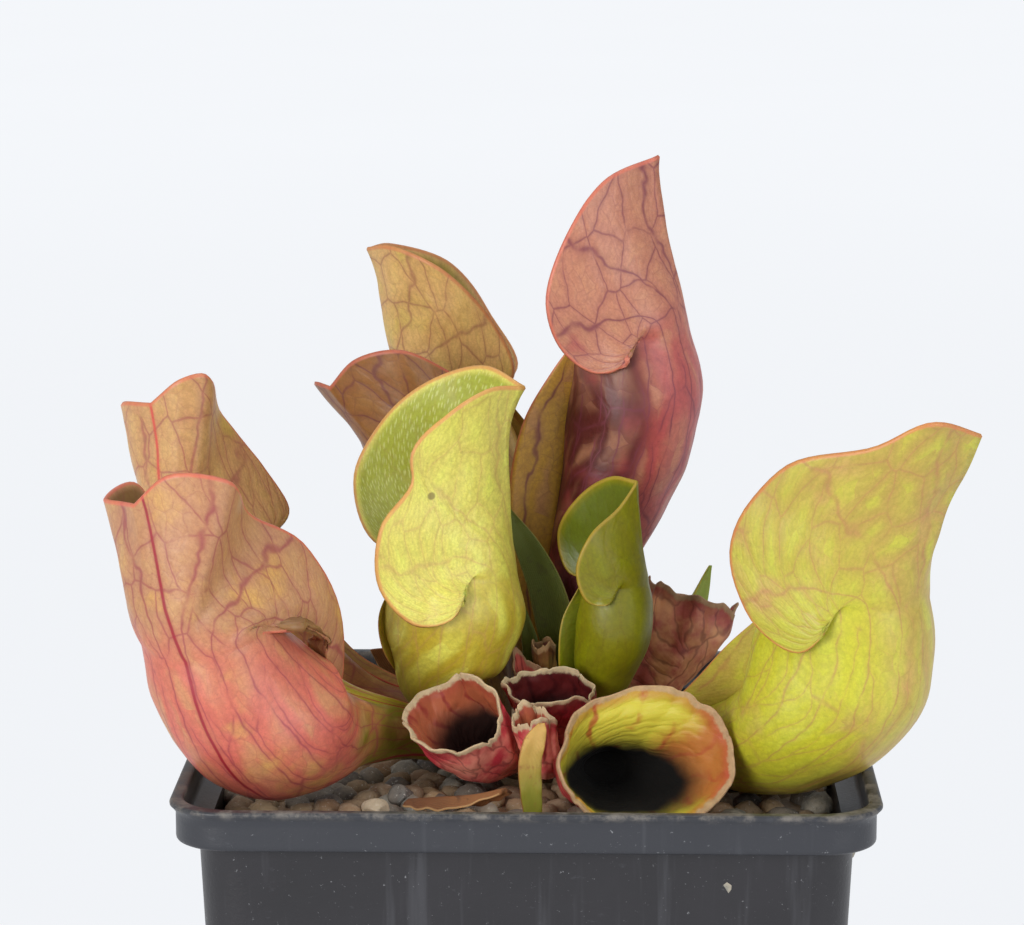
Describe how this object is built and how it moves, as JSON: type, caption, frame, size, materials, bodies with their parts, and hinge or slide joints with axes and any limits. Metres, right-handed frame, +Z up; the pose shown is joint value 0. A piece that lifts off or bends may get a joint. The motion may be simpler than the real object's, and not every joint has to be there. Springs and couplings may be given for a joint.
{
  "type": "potted pitcher plant",
  "caption": "Pitcher plant with hollow hooded leaves rising from a crown set in gravel, growing in a square tapered plastic pot.",
  "frame": {"origin": "middle of the pot's flat underside", "axes": "+Z up, -Y towards the front of the pot, +X to the right seen from the front"},
  "size_m": [0.138, 0.11, 0.2135],
  "materials": {
    "pot": "satin dark grey moulded plastic with fine scuffs",
    "soil": "moist peat, matt and crumbly",
    "gravel": "small mixed stones, matt",
    "crown": "fibrous rootstock, matt",
    "pitcher_right": "living leaf, veined, soft sheen",
    "pitcher_tall": "living leaf, veined, soft sheen",
    "pitcher_centre": "living leaf, veined, soft sheen",
    "pitcher_young": "living leaf, veined, soft sheen",
    "pitcher_left_front": "living leaf, veined, soft sheen",
    "pitcher_left_rear": "living leaf, veined, soft sheen",
    "pitcher_middle_left": "living leaf, veined, soft sheen",
    "pitcher_middle_rear": "living leaf, veined, soft sheen",
    "old_pitcher_front_right": "living leaf, veined, soft sheen",
    "old_pitcher_front_left": "living leaf, veined, soft sheen",
    "old_pitcher_front_middle": "living leaf, veined, soft sheen",
    "old_pitcher_folded": "living leaf, veined, soft sheen",
    "old_pitcher_pointed": "living leaf, veined, soft sheen",
    "old_pitcher_tube": "living leaf, veined, soft sheen",
    "old_pitcher_rear_right": "living leaf, veined, soft sheen",
    "strap_leaf_stub": "living leaf, veined, soft sheen",
    "strap_leaf_centre": "living leaf, veined, soft sheen",
    "strap_leaf_pointed": "living leaf, veined, soft sheen",
    "strap_leaf_left": "living leaf, veined, soft sheen",
    "new_shoot": "living leaf, veined, soft sheen",
    "dead_leaf_left": "dry papery leaf, matt",
    "dead_leaf_front": "dry papery leaf, matt",
    "pebble": "water-worn stone, matt"
  },
  "bodies": {
    "root": {"pot": "pot", "soil": "soil", "gravel": "gravel", "crown": "crown", "pitcher_right": "pitcher_right", "pitcher_tall": "pitcher_tall", "pitcher_centre": "pitcher_centre", "pitcher_young": "pitcher_young", "pitcher_left_front": "pitcher_left_front", "pitcher_left_rear": "pitcher_left_rear", "pitcher_middle_left": "pitcher_middle_left", "pitcher_middle_rear": "pitcher_middle_rear", "old_pitcher_front_right": "old_pitcher_front_right", "old_pitcher_front_left": "old_pitcher_front_left", "old_pitcher_front_middle": "old_pitcher_front_middle", "old_pitcher_folded": "old_pitcher_folded", "old_pitcher_pointed": "old_pitcher_pointed", "old_pitcher_tube": "old_pitcher_tube", "old_pitcher_rear_right": "old_pitcher_rear_right", "strap_leaf_stub": "strap_leaf_stub", "strap_leaf_centre": "strap_leaf_centre", "strap_leaf_pointed": "strap_leaf_pointed", "strap_leaf_left": "strap_leaf_left", "new_shoot": "new_shoot", "dead_leaf_left": "dead_leaf_left", "dead_leaf_front": "dead_leaf_front", "pebble_01": "pebble", "pebble_02": "pebble", "pebble_03": "pebble", "pebble_04": "pebble", "pebble_05": "pebble", "pebble_06": "pebble", "pebble_07": "pebble", "pebble_08": "pebble", "pebble_09": "pebble", "pebble_10": "pebble", "pebble_11": "pebble", "pebble_12": "pebble", "pebble_13": "pebble", "pebble_14": "pebble", "pebble_15": "pebble", "pebble_16": "pebble"}
  },
  "joints": []
}
